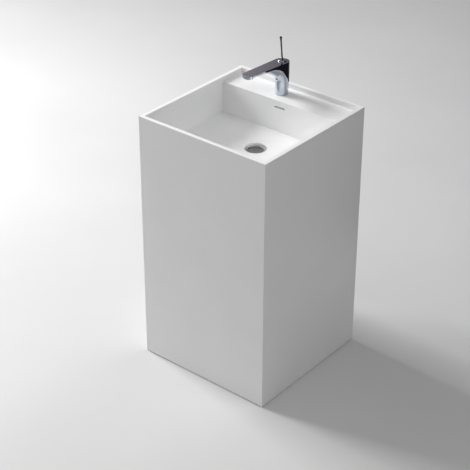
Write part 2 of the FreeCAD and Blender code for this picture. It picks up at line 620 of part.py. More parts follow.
def horn():
    """The flaring horn that bends from the column into the spout.

    Each ring is given by its keel point (forward of and above the column's foot), its half-depth,
    its half-width, and its lean from level; it lies behind and above its keel point.
    """
    rings = []
    for forward, high, deep, wide, lean in (
            (21, 0, 21, 21, 0), (21.1, 24, 21.2, 21.1, 0), (22.3, 46, 24, 22, 6), (29.5, 61, 31, 23.8, 22),
            (44, 74, 40, 24.8, 43), (65, 85.5, 41, 25.5, 63), (90, 95, 36, 27, 78),
            (125, 102.5, 32, 29.5, 88),
            (186, 107.5, 32, 31, 90)):
        ring = doc.addObject("Part::Ellipse", "Horn_ring")
        along_depth = FreeCAD.Rotation(FreeCAD.Vector(0, 0, 1), 90)
        ring.Placement = FreeCAD.Placement(FreeCAD.Vector(),
                                           FreeCAD.Rotation(FreeCAD.Vector(1, 0, 0), lean) * along_depth)
        back = "%g*cos(%g)" % (deep, lean)
        up = "%g*sin(%g)" % (deep, lean)
        bind(ring, MajorRadius="%g*column_radius/21" % deep, MinorRadius="%g*column_radius/21" % wide,
             Placement__Base__x="tap_x", Placement__Base__y="tap_y - %g + %s" % (forward, back),
             Placement__Base__z="%s + %g + %s" % (BASE, high, up))
        rings.append(ring)
    loft = doc.addObject("Part::Loft", "Horn")
    loft.Sections = rings
    loft.Solid = True
    loft.Ruled = False
    loft.MaxDegree = 3
    return loft


def tap_envelope():
    """What the horn is trimmed to: the spout's plan, and the flat rising top."""
    plan = new_body("TapPlan")
    sketch = new_sketch(plan, "Tap_plan", "XY_Plane", BASE)
    half, tip, reach = amount("tap_half"), amount("tip_half"), amount("tap_reach")
    corner = amount("tip_round")
    side, far = tip - corner, reach - corner
    lean = math.asin((half - corner) / math.hypot(side, far)) - math.atan2(side, far)
    up = FreeCAD.Vector(0, 0, 1)
    rear = Part.ArcOfCircle(Part.Circle(FreeCAD.Vector(0, 0, 0), up, half), -lean, math.pi + lean)
    left = Part.ArcOfCircle(Part.Circle(FreeCAD.Vector(-side, -far, 0), up, corner), math.pi + lean,
                            1.5 * math.pi)
    right = Part.ArcOfCircle(Part.Circle(FreeCAD.Vector(side, -far, 0), up, corner), 1.5 * math.pi,
                             2 * math.pi - lean)
    curves = [rear, Part.LineSegment(rear.EndPoint, left.StartPoint), left,
              Part.LineSegment(left.EndPoint, right.StartPoint), right,
              Part.LineSegment(right.EndPoint, rear.StartPoint)]
    for curve in curves:
        sketch.addGeometry(curve, False)
    for index in range(len(curves)):
        sketch.addConstraint(Sketcher.Constraint("Tangent", index, 2, (index + 1) % len(curves), 1))
    pin_point(sketch, 0, 3, "0", "0")
    pin_point(sketch, 2, 3, "tip_round - tip_half", "tip_round - tap_reach")
    pin_point(sketch, 4, 3, "tip_half - tip_round", "tip_round - tap_reach")
    for curve, radius in ((0, "tap_half"), (2, "tip_round"), (4, "tip_round")):
        index = sketch.addConstraint(Sketcher.Constraint("Radius", curve, amount(radius)))
        sketch.renameConstraint(index, "radius%d" % curve)
        sketch.setExpression("Constraints.radius%d" % curve, bound(radius))
    pad(plan, sketch, "tap_top + 30")
    place(plan, "tap_x", "tap_y", "0")
    above = prism("AboveTop", [("-250", "(tap_top + 250*tan(top_rise))"),
                               ("60", "(tap_top - 60*tan(top_rise))"),
                               ("60", "tap_top + 80"), ("-250", "tap_top + 80")], "120", "-60", "YZ_Plane")
    place(above, "tap_x", "tap_y", BASE)
    return plan, above


def tilted(name, section):
    """A piece turned about the lever's swing axis, which stands square to the sloping top."""
    return turned(name, section, "tap_x", "tap_y + cartridge_y", TOP_AT_AXIS, "-top_rise")


def mixer_body():
    plan, above = tap_envelope()
    shell = doc.addObject("Part::Common", "Trimmed_horn")
    shell.Base = cut("FlatTop", horn(), above)
    shell.Tool = plan
    doc.recompute()
    bore = tilted("Cartridge_bore", [("0", "-cartridge_tall - 8"),
                                     ("cartridge_radius + 0.1", "-cartridge_tall - 8"),
                                     ("cartridge_radius + 0.1", "20"), ("0", "20")])
    mouth = rod("Aerator_bore", "aerator_radius", "aerator_high - 60", "tap_x", "tap_y - aerator_reach",
                BASE + " + 60")
    spout_way = rod("Spout_way", "3", "aerator_reach - 6", turn_x="90 - top_rise")
    place(spout_way, "tap_x", "tap_y - 6", BASE + " + tap_top - 7")
    tools = [bore, mouth, spout_way]
    for side in ("+", "-"):
        spot = "tap_y %s tail_apart" % side
        tools.append(rod("Tail_socket", "tail_radius", "13", "tap_x", spot, BASE + " - 1"))
        tools.append(rod("Supply_way", "3", "tap_top - cartridge_tall - 14", "tap_x", spot, BASE))
    tools.append(rod("Stud_socket", "stud_radius", "15", "tap_x + stud_side", "tap_y", BASE + " - 1"))
    button_seat = rod("Button_seat", "button_radius", "20", turn_x="90")
    tools.append(place(button_seat, "tap_x", "tap_y - button_back", BASE + " + button_high"))
    node(cut("MixerBody", shell, *tools), "mixer_body")


def mixer_insides():
    """Base seal, ceramic cartridge and its nut, aerator, and the index button."""
    node(turned("MixerSeal", ring_section("tap_hole - 1", "column_radius - 0.5", "0", "tap_seal"), "tap_x",
                "tap_y", DECK),
         "mixer_seal")
    cartridge = [("0", "-cartridge_tall - 8"), ("cartridge_radius", "-cartridge_tall - 8"),
                 ("cartridge_radius", "cartridge_top"), ("0", "cartridge_top")]
    node(tilted("Cartridge", cartridge), "ceramic_cartridge")
    nut = ring_section("spindle_radius + running_gap", "cartridge_radius", "cartridge_top", "nut_top")
    node(tilted("CartridgeNut", nut), "cartridge_nut")
    spout_y = "tap_y - aerator_reach"
    low, high = "aerator_low", "aerator_high"
    housing = [("aerator_radius - 2", low), ("aerator_radius", low), ("aerator_radius", high),
               ("aerator_radius - 2", high)]
    node(turned("AeratorHousing", housing, "tap_x", spout_y, BASE), "aerator_housing")
    insert = [("0", low + " + 1"), ("aerator_radius - 2", low + " + 1"),
              ("aerator_radius - 2", high + " - 1.5"),
              ("0", high + " - 1.5")]
    node(turned("AeratorInsert", insert, "tap_x", spout_y, BASE), "aerator_insert")
    button = rod("IndexButton", "button_radius", "button_deep", turn_x="90")
    node(place(button, "tap_x", "tap_y - button_back", BASE + " + button_high"), "index_button")


def mixer_fixings():
    """Copper tails, their union nuts, and the stud that clamps the mixer to the deck."""
    for side, label in (("+", "hot"), ("-", "cold")):
        spot = "tap_y %s tail_apart" % side
        tail = ring_section("tail_bore", "tail_radius", "tail_end", BASE + " + 12")
        node(turned("Tail", tail, "tap_x", spot), label + "_tail")
        across = hex_nut("Union", "union_flats", "tail_radius", "union_tall", "tap_x", spot, "union_low")
        thread = rod("Union_thread", "union_bore", "tail_end - union_low", "tap_x", spot, "union_low")
        node(cut("Union_nut", across, thread), label + "_union_nut")
    under = "(%s - deck_slab)" % DECK
    stud = rod("FixingStud", "stud_radius", BASE + " + 14 - stud_end", "tap_x + stud_side", "tap_y",
               "stud_end")
    node(stud, "fixing_stud")
    for name, label, level in (("ClampWasher", "clamp_washer", 1), ("ClampPlate", "clamp_plate", 2)):
        disc = rod(name + "_disc", "clamp_radius", "clamp_thick", "tap_x", "tap_y",
                   "%s - %d*clamp_thick" % (under, level))
        gap = block(name + "_gap", "tap_x - clamp_radius - 1", "tap_y - tail_apart - tail_radius - 1",
                    "%s - %d*clamp_thick - 1" % (under, level), "clamp_radius + tail_radius + 2",
                    "2*(tail_apart + tail_radius + 1)", "clamp_thick + 2")
        hole = rod(name + "_hole", "stud_radius", "clamp_thick + 2", "tap_x + stud_side", "tap_y",
                   "%s - %d*clamp_thick - 1" % (under, level))
        node(cut(name, disc, gap, hole), label)
    node(hex_nut("ClampNut", "clamp_nut_flats", "stud_radius", "clamp_nut_tall", "tap_x + stud_side", "tap_y",
                 under + " - 2*clamp_thick - clamp_nut_tall"), "clamp_nut")


# ---- lever ----------------------------------------------------------------------------------------

def lever():
    """The turret swings on the cartridge's spindle; the pin lever tilts on an axle across it."""
    shape = [("0", "cartridge_top + joint_gap"), ("spindle_radius", "cartridge_top + joint_gap"),
             ("spindle_radius", "joint_gap"), ("turret_radius", "joint_gap"),
             ("turret_radius", "turret_tall/2"),
             ("turret_radius - 1.5", "turret_tall"), ("0", "turret_tall")]
    turret = tilted("Turret", shape)
    pivot_y = "(tap_y + cartridge_y + pivot_high*sin(top_rise))"
    pivot_z = "(%s + pivot_high*cos(top_rise))" % TOP_AT_AXIS
    slot = block("Lever_slot", "tap_x - lever_end - joint_gap", pivot_y + " - 6.4",
                 pivot_z + " - lever_end - joint_gap",
                 "2*(lever_end + joint_gap)", "10", "12")
    axle_bore = rod_along_x("Axle_bore", "pivot_radius", "2*turret_radius", "tap_x", pivot_y, pivot_z)
    node(cut("LeverTurret", turret, slot, axle_bore), "lever_turret")
    node(rod_along_x("LeverAxle", "pivot_radius", "2*turret_radius - 2.5", "tap_x", pivot_y, pivot_z),
         "lever_axle")

    stem = rod("Lever_stem", "lever_rod", "lever_length - 1", "tap_x", pivot_y, pivot_z, "lever_lean")
    ball = doc.addObject("Part::Sphere", "Lever_ball")
    bind(ball, Radius="lever_end")
    place(ball, "tap_x", pivot_y, pivot_z)
    knob = turned("Lever_knob", [("0", "lever_length - knob_tall"), ("lever_rod", "lever_length - knob_tall"),
                                 ("lever_knob", "lever_length - knob_tall + 1.5"),
                                 ("lever_knob", "lever_length - 1"),
                                 ("lever_knob - 1", "lever_length"), ("0", "lever_length")],
                  "tap_x", pivot_y, pivot_z, "lever_lean")
    eye = rod_along_x("Lever_eye", "pivot_radius + running_gap", "20", "tap_x", pivot_y, pivot_z)
    node(cut("LeverPin", joined("Lever_blank", stem, ball, knob), eye), "lever_pin")


# ---- build ----------------------------------------------------------------------------------------

side_panels()
rear_panel()
bowl_floor()
bowl_rear_wall()
tap_deck()
body_battens()
hangers()
overflow_housing()
overflow_pipe()
plug_and_cartridge(waste_fitting())
bottle_trap()
mixer_body()
mixer_insides()
mixer_fixings()
lever()
doc.recompute()

for thing in doc.Objects:
    if "Invalid" in thing.State or "Error" in thing.State:
        raise RuntimeError("%s failed: %s" % (thing.Label, thing.State))
for piece in NODES:
    if piece.Shape.isNull() or not piece.Shape.isValid():
        raise RuntimeError("%s has a bad shape" % piece.Label)
for piece in NODES:
    piece.Shape.exportStep("parts/%s.step" % piece.Label)
    print(piece.Label, round(piece.Shape.Volume), len(piece.Shape.Solids))
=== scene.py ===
"""Looks of the square pedestal sink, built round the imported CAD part. Lengths are in millimetres until MM."""
import math

import bmesh
import bpy
from mathutils import Matrix, Vector

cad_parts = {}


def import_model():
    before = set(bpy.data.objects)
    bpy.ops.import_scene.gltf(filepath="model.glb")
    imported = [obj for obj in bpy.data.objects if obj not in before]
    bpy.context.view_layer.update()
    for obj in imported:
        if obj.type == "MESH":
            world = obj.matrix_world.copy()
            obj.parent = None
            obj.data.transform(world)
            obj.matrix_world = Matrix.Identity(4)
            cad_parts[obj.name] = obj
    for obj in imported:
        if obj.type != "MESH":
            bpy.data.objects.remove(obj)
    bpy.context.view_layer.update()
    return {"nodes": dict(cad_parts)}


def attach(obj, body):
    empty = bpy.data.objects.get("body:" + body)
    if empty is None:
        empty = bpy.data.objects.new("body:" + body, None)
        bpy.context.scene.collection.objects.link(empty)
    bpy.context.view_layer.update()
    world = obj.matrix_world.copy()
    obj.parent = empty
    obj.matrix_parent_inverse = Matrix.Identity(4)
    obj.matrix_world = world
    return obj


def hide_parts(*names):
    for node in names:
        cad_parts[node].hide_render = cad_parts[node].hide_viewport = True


MM = 0.001
ON_AXIS = 1e-6
SAME_POINT = 2e-6
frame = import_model()

# sizes shared with the CAD part
OUT = 240
IN = 227
TOP = 850
FOOT = 3
DECK = 835
DECK_UNDER = 823
BOWL_REAR = 132
BOWL_BACK = 144
EDGE_Z = 731
DRAIN_Z = 721
RECESS_Z = 711
SLAB_UNDER = 699
DRAIN_Y = 17
SLOT_Z = 812.5
WINDOW_HALF = 160
HANGER_X = 180
HANGER_Z = 690
TRAP_OUTLET_Z = 488
TAP_X = -31.5
TAP_Y = 183
TAP_HOLE = 17.5
BASE = 836
TAP_TOP = 108
TOP_RISE_DEGREES = 3.6
TAP_HALF = 22.5
TIP_HALF = 19
TIP_ROUND = 6
TAP_REACH = 176
AERATOR_REACH = 156
AERATOR_RADIUS = 10
AERATOR_TOP = 110.5
LEVER_LEAN_DEGREES = 7
PIVOT_Z = 945.198
TAIL_APART = 10
STUD_SIDE = 12

# the camera: its focal length in picture points, the picture's width in the same, its sensor in mm
FOCAL = 1416.53
PICTURE = 470
SENSOR = 36


# ---- meshes ---------------------------------------------------------------------------------------

def mesh_object(name, points, faces):
    mesh = bpy.data.meshes.new(name)
    mesh.from_pydata([Vector(p) * MM for p in points], [], faces)
    shape = bmesh.new()
    shape.from_mesh(mesh)
    bmesh.ops.remove_doubles(shape, verts=shape.verts, dist=1e-6)
    bmesh.ops.recalc_face_normals(shape, faces=shape.faces)
    shape.to_mesh(mesh)
    shape.free()
    thing = bpy.data.objects.new(name, mesh)
    bpy.context.scene.collection.objects.link(thing)
    return thing


def prism(name, outline, low, high):
    """An outline of (x, y) points raised between two levels; high may be a function of y."""
    top = high if callable(high) else lambda y: high
    count = len(outline)
    points = [(x, y, low) for x, y in outline] + [(x, y, top(y)) for x, y in outline]
    faces = [list(range(count)), list(range(count, 2 * count))]
    faces += [[i, (i + 1) % count, count + (i + 1) % count, count + i] for i in range(count)]
    return mesh_object(name, points, faces)


def box(name, low, high):
    outline = [(low[0], low[1]), (high[0], low[1]), (high[0], high[1]), (low[0], high[1])]
    return prism(name, outline, low[2], high[2])


def arc(centre, radius, start, end, steps):
    """Points on an arc, from one angle to another in degrees."""
    angles = [math.radians(start + (end - start) * i / steps) for i in range(steps + 1)]
    return [(centre[0] + radius * math.cos(a), centre[1] + radius * math.sin(a)) for a in angles]


def eased(section, radius, steps=3):
    """A closed (r, z) section with each corner off the axis rounded."""
    result = []
    count = len(section)
    for i, corner in enumerate(section):
        here = Vector(corner)
        before = Vector(section[i - 1]) - here
        after = Vector(section[(i + 1) % count]) - here
        reach = min(radius, 0.45 * before.length, 0.45 * after.length)
        if here.x < ON_AXIS or reach < 0.02 or abs(before.normalized().dot(after.normalized())) > 0.99:
            result.append(tuple(here))
            continue
        start = here + before.normalized() * reach
        end = here + after.normalized() * reach
        for k in range(steps + 1):
            t = k / steps
            point = start * (1 - t) ** 2 + here * 2 * t * (1 - t) + end * t ** 2
            result.append(tuple(point))
    return result


def lathe(name, section, place=(0, 0, 0), turn=None, steps=96, shape=None):
    """A closed (r, z) section spun about Z, then turned and placed.

    shape(r, z, angle) may change the radius.
    """
    points = []
    for k in range(steps):
        angle = 2 * math.pi * k / steps
        for r, z in section:
            radius = shape(r, z, angle) if shape else r
            points.append((radius * math.cos(angle), radius * math.sin(angle), z))
    rows = len(section)
    faces = []
    for k in range(steps):
        here, beside = k * rows, ((k + 1) % steps) * rows
        for i in range(rows):
            after = (i + 1) % rows
            if max(section[i][0], section[after][0]) >= ON_AXIS:
                faces.append([here + i, beside + i, beside + after, here + after])
    thing = mesh_object(name, points, faces)
    if turn:
        thing.data.transform(turn)
    thing.data.transform(Matrix.Translation(Vector(place) * MM))
    return thing


def bake(thing):
    """Apply the object's modifiers to its mesh."""
    graph = bpy.context.evaluated_depsgraph_get()
    mesh = bpy.data.meshes.new_from_object(thing.evaluated_get(graph))
    thing.modifiers.clear()
    thing.data = mesh
    return thing


def carve(thing, *tools, keep=False):
    """Take the tools' shapes away from thing, or with keep leave only what they share."""
    for tool in tools:
        modifier = thing.modifiers.new("carve", "BOOLEAN")
        modifier.operation = "INTERSECT" if keep else "DIFFERENCE"
        modifier.solver = "EXACT"
        modifier.object = tool
        bake(thing)
        bpy.data.objects.remove(tool)
    return thing


def round_edges(thing, width, where=None, least=30, segments=3):
    """Round the edges sharper than an angle whose middle, in millimetres, passes the test."""
    shape = bmesh.new()
    shape.from_mesh(thing.data)
    bmesh.ops.remove_doubles(shape, verts=shape.verts, dist=SAME_POINT)
    limit = math.radians(least)
    chosen = []
    for edge in shape.edges:
        if len(edge.link_faces) != 2 or edge.calc_face_angle(0) < limit:
            continue
        middle = (edge.verts[0].co + edge.verts[1].co) / 2 / MM
        if where is None or where(middle):
            chosen.append(edge)
    bmesh.ops.bevel(shape, geom=chosen, offset=width * MM, segments=segments, profile=0.5, affect="EDGES",
                    clamp_overlap=True, loop_slide=False)
    shape.to_mesh(thing.data)
    shape.free()
    return thing


def smooth(thing, angle=35):
    """Smooth shading with flat faces kept flat."""
    thing.data.shade_smooth()
    thing.data.set_sharp_from_angle(angle=math.radians(angle))
    modifier = thing.modifiers.new("flats", "WEIGHTED_NORMAL")
    modifier.keep_sharp = True
    modifier.weight = 80
    return bake(thing)


def joined(name, *things):
    """Several objects as one."""
    shape = bmesh.new()
    for thing in things:
        shape.from_mesh(thing.data)
        bpy.data.objects.remove(thing)
    mesh = bpy.data.meshes.new(name)
    shape.to_mesh(mesh)
    shape.free()
    result = bpy.data.objects.new(name, mesh)
    bpy.context.scene.collection.objects.link(result)
    return result


def dress(thing, body, material, slot, *nodes, angle=35):
    """Shade, paint, hang on its body and let it stand for its CAD nodes."""
    smooth(thing, angle)
    thing.data.materials.clear()
    thing.data.materials.append(material)
    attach(thing, body)
    if nodes:
        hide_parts(*nodes)
    return thing


# ---- materials ------------------------------------------------------------------------------------

def new_material(name, **sockets):
    """A Principled material with constant sockets set directly."""
    material = bpy.data.materials.new(name)
    material.use_nodes = True
    shader = material.node_tree.nodes["Principled BSDF"]
    for socket, value in sockets.items():
        shader.inputs[socket.replace("_", " ")].default_value = value
    return material, material.node_tree, shader


def object_noise(tree, scale, detail=3.0, roughness=0.5):
    place = tree.nodes.new("ShaderNodeTexCoord")
    noise = tree.nodes.new("ShaderNodeTexNoise")
    noise.inputs["Scale"].default_value = scale
    noise.inputs["Detail"].default_value = detail
    noise.inputs["Roughness"].default_value = roughness
    tree.links.new(place.outputs["Object"], noise.inputs["Vector"])
    return noise


def spread(tree, source, low, high):
    """Map a 0 to 1 value to a range."""
    change = tree.nodes.new("ShaderNodeMapRange")
    change.inputs["From Min"].default_value = 0.3
    change.inputs["From Max"].default_value = 0.7
    change.inputs["To Min"].default_value = low
    change.inputs["To Max"].default_value = high
    tree.links.new(source, change.inputs["Value"])
    return change.outputs["Result"]


def tinted(tree, source, first, second):
    """A colour that varies between two close tints."""
    ramp = tree.nodes.new("ShaderNodeValToRGB")
    ramp.color_ramp.elements[0].position = 0.35
    ramp.color_ramp.elements[0].color = (*first, 1)
    ramp.color_ramp.elements[1].position = 0.65
    ramp.color_ramp.elements[1].color = (*second, 1)
    tree.links.new(source, ramp.inputs["Fac"])
    return ramp.outputs["Color"]


def bumped(tree, shader, source, strength, distance):
    bump = tree.nodes.new("ShaderNodeBump")
    bump.inputs["Strength"].default_value = strength
    bump.inputs["Distance"].default_value = distance
    tree.links.new(source, bump.inputs["Height"])
    tree.links.new(bump.outputs["Normal"], shader.inputs["Normal"])


def surface(name, first, second, gloss, grain, bump=0.0, cloud=40.0, **sockets):
    """Two close tints in soft clouds, uneven gloss, and a fine grain."""
    material, tree, shader = new_material(name, **sockets)
    clouds = object_noise(tree, cloud, 4.0)
    tree.links.new(tinted(tree, clouds.outputs["Fac"], first, second), shader.inputs["Base Color"])
    fine = object_noise(tree, grain, 2.0)
    tree.links.new(spread(tree, fine.outputs["Fac"], gloss[0], gloss[1]), shader.inputs["Roughness"])
    if bump:
        bumped(tree, shader, fine.outputs["Fac"], bump, 0.0002)
    return material


CAST = surface("cast_white", (0.885, 0.885, 0.885), (0.905, 0.905, 0.905), (0.46, 0.56), 1500.0, 0.06, cloud=6.0,
               Specular_IOR_Level=0.35)
CHROME = surface("polished_chrome", (0.52, 0.56, 0.63), (0.55, 0.59, 0.65), (0.035, 0.07), 260.0, cloud=25.0,
                 Metallic=1.0)
SATIN = surface("satin_nickel", (0.57, 0.57, 0.58), (0.62, 0.62, 0.63), (0.24, 0.34), 700.0, 0.1, cloud=70.0,
                Metallic=1.0)
# brushed steel darkened below its own tone: painted shade for the plug sunk in its recess
PLUG = surface("brushed_steel_painted_shade", (0.25, 0.25, 0.26), (0.30, 0.30, 0.31), (0.28, 0.4), 600.0, 0.12, cloud=60.0,
               Metallic=1.0)
# chrome darkened to near black for the lever pin: a painted dark reflection
LEVER_CHROME_PAINTED_DARK = surface("chrome_painted_dark_reflection", (0.07, 0.07, 0.08), (0.10, 0.10, 0.11), (0.05, 0.10), 400.0, cloud=60.0,
                 Metallic=1.0)
BRASS = surface("machined_brass", (0.66, 0.47, 0.20), (0.72, 0.53, 0.25), (0.22, 0.34), 900.0, 0.15, cloud=90.0,
                Metallic=1.0)
COPPER = surface("drawn_copper", (0.66, 0.34, 0.20), (0.74, 0.42, 0.27), (0.22, 0.38), 300.0, 0.1, cloud=35.0,
                 Metallic=1.0)
ZINC = surface("zinc_plated_steel", (0.52, 0.53, 0.55), (0.62, 0.62, 0.62), (0.30, 0.46), 500.0, 0.15, cloud=120.0,
               Metallic=1.0)
WHITE_PLASTIC = surface("moulded_white_plastic", (0.70, 0.70, 0.68), (0.74, 0.74, 0.72), (0.30, 0.40), 1200.0, 0.1,
                        cloud=30.0, Subsurface_Weight=0.05)
GREY_PLASTIC = surface("moulded_grey_plastic", (0.30, 0.31, 0.32), (0.35, 0.36, 0.37), (0.34, 0.46), 1200.0, 0.12,
                       cloud=30.0)
DARK_PLASTIC = surface("moulded_black_plastic", (0.025, 0.025, 0.028), (0.04, 0.04, 0.043), (0.36, 0.5), 1200.0,
                       0.12, cloud=30.0)
RUBBER = surface("black_rubber", (0.018, 0.018, 0.018), (0.032, 0.032, 0.032), (0.62, 0.78), 1600.0, 0.3, cloud=80.0)
BATTEN = surface("composite_batten", (0.55, 0.53, 0.50), (0.66, 0.64, 0.60), (0.55, 0.7), 500.0, 0.3, cloud=18.0)
PAINT = {"cast_body": CAST, "batten": BATTEN, "pad_plastic": DARK_PLASTIC, "zinc_steel": ZINC,
         "white_plastic": WHITE_PLASTIC, "grey_plastic": GREY_PLASTIC, "dark_plastic": DARK_PLASTIC,
         "seal_rubber": RUBBER, "chrome": CHROME, "brass": BRASS, "copper": COPPER}


def paint_nodes():
    """Give every CAD node that still shows the material of its slot."""
    for node in frame["nodes"].values():
        for held in node.material_slots:
            slot = held.material.name.split(".")[0]
            if slot in PAINT:
                held.material = PAINT[slot]


# ---- white body -----------------------------------------------------------------------------------

def square_points(side):
    """Points round the bowl's plan, corners among them, seen from the drain."""
    corners = [(IN, -IN), (IN, BOWL_REAR), (-IN, BOWL_REAR), (-IN, -IN)]
    points = []
    for i, start in enumerate(corners):
        end = corners[(i + 1) % 4]
        points += [(start[0] + (end[0] - start[0]) * k / side, start[1] + (end[1] - start[1]) * k / side)
                   for k in range(side)]
    return points


def bowl_tool():
    """The space of the bowl, whose floor falls smoothly from the square walls to the round recess."""
    rim = square_points(24)
    count = len(rim)
    rings = [[(x, y, TOP + 10) for x, y in rim]]
    for t in (1.0, 0.85, 0.7, 0.55, 0.4, 0.25, 0.12, 0.0):
        ring = []
        for x, y in rim:
            out = Vector((x, y - DRAIN_Y))
            near = out.normalized() * 30
            spot = near.lerp(out, t)
            ring.append((spot.x, spot.y + DRAIN_Y, DRAIN_Z + (EDGE_Z - DRAIN_Z) * t))
        rings.append(ring)
    points = [p for ring in rings for p in ring]
    faces = [list(range(count)), list(range((len(rings) - 1) * count, len(rings) * count))]
    for r in range(len(rings) - 1):
        faces += [[r * count + k, r * count + (k + 1) % count, (r + 1) * count + (k + 1) % count,
                   (r + 1) * count + k] for k in range(count)]
    return mesh_object("bowl_tool", points, faces)


def recess_tool():
    """The round recess for the waste, with an eased lip, and the bore under it."""
    lip = [(35 + 2.2 - 2.2 * math.cos(a), DRAIN_Z - 1.6 + 2.0 * math.sin(a)) for a in
           [math.radians(15 * k) for k in range(6)]]
    section = [(0, SLAB_UNDER - 5), (28.3, SLAB_UNDER - 5), (28.3, RECESS_Z), (35, RECESS_Z)] + lip
    section += [(38.2, DRAIN_Z + 1.5), (38.2, DRAIN_Z + 12), (0, DRAIN_Z + 12)]
    return lathe("recess_tool", section, (0, DRAIN_Y, 0), steps=128)


def stadium(half, radius, steps=10):
    """A slot outline with round ends along X."""
    return arc((half, 0), radius, -90, 90, steps) + arc((-half, 0), radius, 90, 270, steps)


def slot_tool():
    """The overflow slot through the bowl's rear wall."""
    tool = prism("slot_tool", stadium(18, 2.5), -8, 20)
    tool.data.transform(Matrix.Rotation(math.radians(-90), 4, "X"))
    tool.data.transform(Matrix.Translation(Vector((0, BOWL_REAR, SLOT_Z)) * MM))
    return tool


def on_outline(p):
    """True on the edges that a hand can reach: the outer corners, the rim, the deck and the bowl."""
    if p.z < EDGE_Z - 12:
        upright = abs(p.x) > OUT - 1 and abs(p.y) > OUT - 1
        foot = p.z < FOOT + 0.5 and max(abs(p.x), abs(p.y)) > OUT - 1
        return upright or foot
    return True


def white_body():
    body = box("white_body", (-OUT, -OUT, FOOT), (OUT, OUT, TOP))
    carve(body, box("deck_space", (-IN, -IN, DECK), (IN, IN, TOP + 10)))
    carve(body, bowl_tool())
    round_edges(body, 1.8, on_outline, 40, 3)
    carve(body, recess_tool())
    carve(body, box("under_bowl", (-IN, -IN, -5), (IN, BOWL_BACK + 1, SLAB_UNDER)))
    carve(body, box("behind_bowl", (-IN, BOWL_BACK, -5), (IN, IN, DECK_UNDER)))
    carve(body, box("window", (-WINDOW_HALF, IN - 5, 60), (WINDOW_HALF, OUT + 5, 600)))
    carve(body, slot_tool())
    hole = arc((TAP_X, TAP_Y), TAP_HOLE, 0, 360, 63)[:-1]
    carve(body, prism("tap_hole", hole, DECK_UNDER - 5, DECK + 5))
    for side in (-1, 1):
        x = side * HANGER_X
        carve(body, box("seat", (x - 30, OUT - 3, HANGER_Z - 25), (x + 30, OUT + 5, HANGER_Z + 25)))
        carve(body, box("relief", (x - 9.6, OUT - 9, HANGER_Z - 12), (x + 9.6, OUT - 2, HANGER_Z + 26)))
    dress(body, "sink", CAST, "cast_body", "front_panel", "left_panel", "right_panel", "rear_panel", "basin_floor",
          "basin_rear_wall", "tap_deck", angle=30)


# ---- mixer ----------------------------------------------------------------------------------------

# each ring's keel (forward of and above the foot), half-depth, half-width and lean in degrees
HORN = ((21, 0, 21, 21, 0), (21.1, 24, 21.2, 21.1, 0), (22.3, 46, 24, 22, 6), (29.5, 61, 31, 23.8, 22),
        (44, 74, 40, 24.8, 43), (65, 85.5, 41, 25.5, 63), (90, 95, 36, 27, 78), (125, 102.5, 32, 29.5, 88),
        (186, 107.5, 32, 31, 90))


def spline(rows, per_span):
    """Rows of numbers joined by a smooth curve through them all."""
    result = []
    for i in range(len(rows) - 1):
        a = rows[max(i - 1, 0)]
        b, c = rows[i], rows[i + 1]
        d = rows[min(i + 2, len(rows) - 1)]
        for k in range(per_span):
            t = k / per_span
            row = []
            for p, q, r, s in zip(a, b, c, d):
                row.append(0.5 * (2 * q + (r - p) * t + (2 * p - 5 * q + 4 * r - s) * t * t
                                  + (3 * q - p - 3 * r + s) * t ** 3))
            result.append(row)
    result.append(list(rows[-1]))
    return result


def horn():
    """The horn that bends from the column into the spout; each ring lies behind and above its keel."""
    rows = spline(HORN, 8)
    steps = 128
    points = []
    for forward, high, deep, wide, lean in rows:
        back, up = math.cos(math.radians(lean)), math.sin(math.radians(lean))
        for k in range(steps):
            angle = 2 * math.pi * k / steps
            reach = deep * (1 + math.sin(angle))
            points.append((TAP_X + wide * math.cos(angle), TAP_Y - forward + reach * back,
                           BASE + high + reach * up))
    faces = [list(range(steps)), list(range((len(rows) - 1) * steps, len(rows) * steps))]
    for r in range(len(rows) - 1):
        for k in range(steps):
            beside = (k + 1) % steps
            faces.append([r * steps + k, r * steps + beside, (r + 1) * steps + beside, (r + 1) * steps + k])
    return mesh_object("mixer_casting", points, faces)


def tap_top(y):
    """Height of the mixer's flat top at a depth."""
    return BASE + TAP_TOP - (y - TAP_Y) * math.tan(math.radians(TOP_RISE_DEGREES))


def tap_plan():
    """The mixer's outline from above: round at the column, narrower and nearly square at the tip."""
    side, far = TIP_HALF - TIP_ROUND, TAP_REACH - TIP_ROUND
    lean = math.degrees(math.asin((TAP_HALF - TIP_ROUND) / math.hypot(side, far)) - math.atan2(side, far))
    outline = arc((TAP_X, TAP_Y), TAP_HALF, -lean, 180 + lean, 40)
    outline += arc((TAP_X - side, TAP_Y - far), TIP_ROUND, 180 + lean, 270, 10)
    outline += arc((TAP_X + side, TAP_Y - far), TIP_ROUND, 270, 360 - lean, 10)
    return prism("tap_plan", outline, BASE - 5, tap_top)


def outside_mouth(p):
    """True on the casting's edges above its foot, away from the aerator's seat."""
    beside = max(abs(p.x - TAP_X), abs(p.y - TAP_Y + AERATOR_REACH)) >= AERATOR_RADIUS + 1
    return p.z > BASE + 1 and (beside or p.z <= BASE + 60 or p.z >= BASE + 112)


def mixer():
    """The column and spout in one casting."""
    casting = horn()
    carve(casting, tap_plan(), keep=True)
    mouth = arc((TAP_X, TAP_Y - AERATOR_REACH), AERATOR_RADIUS, 0, 360, 48)[:-1]
    carve(casting, prism("mouth", mouth, BASE + 60, BASE + AERATOR_TOP))
    round_edges(casting, 0.5, outside_mouth, 28, 2)
    dress(casting, "sink", CHROME, "chrome", "mixer_body", angle=24)


def about_x(degrees):
    return Matrix.Rotation(math.radians(degrees), 4, "X")


def ribbed(count, depth, least):
    """A grip of soft ribs on the part of a section beyond a radius."""
    return lambda r, z, angle: r - depth * (0.5 - 0.5 * math.cos(count * angle)) if r > least else r


def hexed(flats):
    """A hexagon with corners on X, wherever the section is wide enough."""
    return lambda r, z, angle: min(r, flats / 2 / math.cos(angle % (math.pi / 3) - math.pi / 6))


